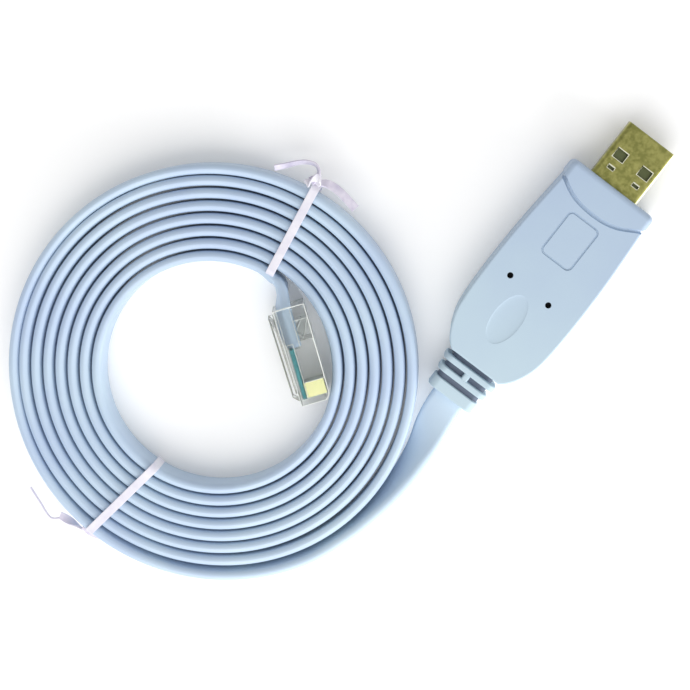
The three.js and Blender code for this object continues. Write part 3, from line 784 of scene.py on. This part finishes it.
# %% The tails of the ties
wire_section = rounded_section(0.5, 0.4, 0.15, 2)
TAIL_STEP = 0.5
UPPER_CURL = [
    (-52.4, -15.6, 8.0, 0),
    (-52.0, -14.4, 8.3, 50),
    (-52.2, -13.0, 8.0, 70),
    (-53.6, -12.2, 7.6, 66),
    (-55.4, -12.8, 7.4, 62),
    (-57.0, -14.1, 7.6, 60),
    (-58.7, -16.1, 8.0, 56),
    (-60.4, -18.0, 8.4, 50),
]
UPPER_STRIP = [
    (-52.0, -15.2, 7.6, 0),
    (-50.4, -14.6, 7.4, 50),
    (-49.2, -14.0, 7.0, 20),
    (-47.0, -13.7, 7.3, 0),
    (-44.5, -13.9, 7.8, 0),
    (-41.2, -14.5, 8.2, 0),
]
UPPER_TWIST = [
    (-52.9, -16.6, 8.9, 0),
    (-52.2, -15.0, 9.3, 110),
    (-51.4, -13.8, 9.0, 220),
    (-50.9, -14.7, 8.2, 330),
    (-51.6, -15.6, 7.6, 400),
]
LOWER_CURL = [
    (-46.3, -109.4, 7.0, 0),
    (-46.6, -110.4, 6.0, 60),
    (-48.5, -111.0, 5.0, 90),
    (-50.8, -111.4, 4.3, 150),
    (-53.0, -111.8, 4.0, 200),
]
LOWER_STRIP = [
    (-46.3, -109.4, 6.6, 0),
    (-46.0, -110.2, 5.6, -30),
    (-44.2, -110.2, 4.8, -20),
    (-41.2, -109.6, 4.2, -50),
]
LOWER_WIRE = [
    (-52.4, -112.0, 3.6, 90),
    (-54.5, -114.2, 2.4, 90),
    (-58.6, -112.9, 2.0, 90),
    (-62.4, -111.4, 2.0, 90),
]
TAILS = {
    "upper": (
        (UPPER_CURL, tie_section, tie_film),
        (UPPER_STRIP, tie_section, tie_film),
        (UPPER_TWIST, tie_section, tie_plastic),
    ),
    "lower": (
        (LOWER_CURL, tie_section, tie_film),
        (LOWER_STRIP, tie_section, tie_film),
        (LOWER_WIRE, wire_section, tie_film),
    ),
}

for name, (angle, heading) in TIE_PLACES.items():
    loop, across = loop_points(angle, heading)
    tie = ribbon("tie_" + name, loop, [across] * len(loop), tie_section, closed=True)
    tie.data.materials.append(tie_plastic)
    tails = []
    for points, section, finish in TAILS[name]:
        line = smooth_line(points, TAIL_STEP)
        places = [Vector(row[:3]) for row in line]
        tail = ribbon("tail", places, cable_sideways(places, line), section)
        tail.data.materials.append(finish)
        tails.append(tail)
    join(tie, *tails)
    dress(tie, tie_plastic)
    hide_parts("twist_tie_" + name)

# %% [markdown]
# The tongue, the contacts and the cores are small, plain and mostly hidden, so they keep the shapes of their
# CAD nodes and only get their finishes.

# %% Finishes on the CAD nodes
def finish_nodes(material, *names):
    for name in names:
        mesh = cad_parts[name].data
        mesh.materials.clear()
        mesh.materials.append(material)


cores = [f"conductor_{n}" for n in range(1, 9)]
blades = [f"rj45_contact_{n}" for n in range(1, 9)]
contact_strips = [f"usb_contact_{n}" for n in range(1, 5)]
finish_nodes(insulator, "usb_tongue")
finish_nodes(contact_gold, *contact_strips, *blades)
finish_nodes(core_plastic, *cores)
print("CAD nodes finished:", 1 + len(contact_strips) + len(blades) + len(cores))

# %% [markdown]
# The clear plug starts as a copy of its CAD body. That mesh is loose triangles, so they are merged and its
# flat faces made whole before its edges can be found. The latch's free end reaches further back than in
# the CAD body, to where the photograph shows it.

# %% The clear plug
PLUG_REAR = Vector((-41.02, -41.52, 0)) * MM
PLUG_ALONG = Vector((0.7955, -0.606, 0))
PLUG_ACROSS = Vector((0.606, 0.7955, 0))
LATCH_END = (3 * MM, 7 * MM)
LATCH_INNER = -2.6 * MM
LATCH_EXTRA = 3.6 * MM

plug = bpy.data.objects.new("rj45_skin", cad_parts["rj45_body"].data.copy())
bpy.context.collection.objects.link(plug)
plug.data.materials.clear()
plug.data.materials.append(clear_plastic)
plug.data.materials.append(clear_edge)
plug.data.materials.append(clear_gleam)
bpy.ops.object.select_all(action="DESELECT")
plug.select_set(True)
bpy.context.view_layer.objects.active = plug
bpy.ops.object.mode_set(mode="EDIT")
bpy.ops.mesh.select_all(action="SELECT")
bpy.ops.mesh.remove_doubles(threshold=0.00002)
bpy.ops.mesh.dissolve_limited(angle_limit=math.radians(1))
bpy.ops.object.mode_set(mode="OBJECT")

for vertex in plug.data.vertices:
    offset = vertex.co - PLUG_REAR
    if LATCH_END[0] < offset.dot(PLUG_ALONG) < LATCH_END[1] and offset.dot(PLUG_ACROSS) < LATCH_INNER:
        vertex.co -= PLUG_ALONG * LATCH_EXTRA
print("plug faces:", len(plug.data.polygons))

# %% [markdown]
# Light gathers in the edges of a clear moulding. A fine bevel alone is too narrow to show in the picture, so
# a wireframe of the same mesh lays a thin line along every edge: grey against the table on the latch's side,
# and pale in the coil's shade on the other.

# %% The plug's edges
EDGE_BEVEL = 0.2
EDGE_LINE = 0.2 * MM
LATCH_SIDE = -1.9 * MM

edge_mesh = plug.data.copy()
soften(plug, EDGE_BEVEL, 2, 40, edge_slot=1)
lines = bpy.data.objects.new("edge_lines", edge_mesh)
bpy.context.collection.objects.link(lines)
modify(lines, "WIREFRAME", thickness=EDGE_LINE, use_replace=True, use_even_offset=False)
lines.data.materials.clear()
lines.data.materials.append(clear_edge)
lines.data.materials.append(clear_gleam)
for face in lines.data.polygons:
    face.material_index = int((face.center - PLUG_REAR).dot(PLUG_ACROSS) > LATCH_SIDE)
join(plug, lines)
dress(plug, clear_plastic)
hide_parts("rj45_body")
print("plug faces with its lines:", len(plug.data.polygons))

# %% [markdown]
# The photograph shows the cord from end to end, so its length could be worked out from its turns.

# %% [markdown]
# The photograph is lit softly from its lower edge, over a white table. A wide lamp on that side makes the
# bright lower edge of each turn, a small low one at the right brightens the sides that face it, and a bright
# sky keeps the shadows pale. The floor glows very faintly, which keeps it white right up to the object.

# %% Floor and light
FLOOR_SIZE = 4.0
FLOOR_LOW = -0.0001
FLOOR_WHITE = (0.97, 0.97, 0.97)
FLOOR_GLOW = 0.07
SKY_STRENGTH = 0.56
bpy.ops.mesh.primitive_plane_add(size=FLOOR_SIZE, location=(0, 0, FLOOR_LOW))
floor = bpy.context.object
floor.name = "floor"
floor_finish, shader = new_material("floor_finish", FLOOR_WHITE, 0.7)
shader.inputs["Emission Color"].default_value = (1.0, 1.0, 1.0, 1.0)
shader.inputs["Emission Strength"].default_value = FLOOR_GLOW
floor.data.materials.append(floor_finish)

world = bpy.data.worlds.new("world")
world.use_nodes = True
world.node_tree.nodes["Background"].inputs["Color"].default_value = (1.0, 1.0, 1.0, 1.0)
world.node_tree.nodes["Background"].inputs["Strength"].default_value = SKY_STRENGTH
bpy.context.scene.world = world
bpy.context.scene.view_settings.view_transform = "Standard"


def add_lamp(name, place, power, size):
    lamp = bpy.data.objects.new(name, bpy.data.lights.new(name, "AREA"))
    lamp.data.energy = power
    lamp.data.size = size
    lamp.location = place
    lamp.rotation_euler = (CAMERA_AIM - lamp.location).to_track_quat("-Z", "Y").to_euler()
    bpy.context.collection.objects.link(lamp)


picture_down = -(backward.cross(right))
lower_place = CAMERA_AIM + picture_down * 0.5 + Vector((0, 0, 0.42))
right_place = CAMERA_AIM + right * 0.5 + picture_down * 0.25 + Vector((0, 0, 0.12))
add_lamp("lower_lamp", lower_place, 5.0, 0.9)
add_lamp("right_lamp", right_place, 1.8, 0.25)
print("lamps:", [lamp.name for lamp in bpy.data.lights])
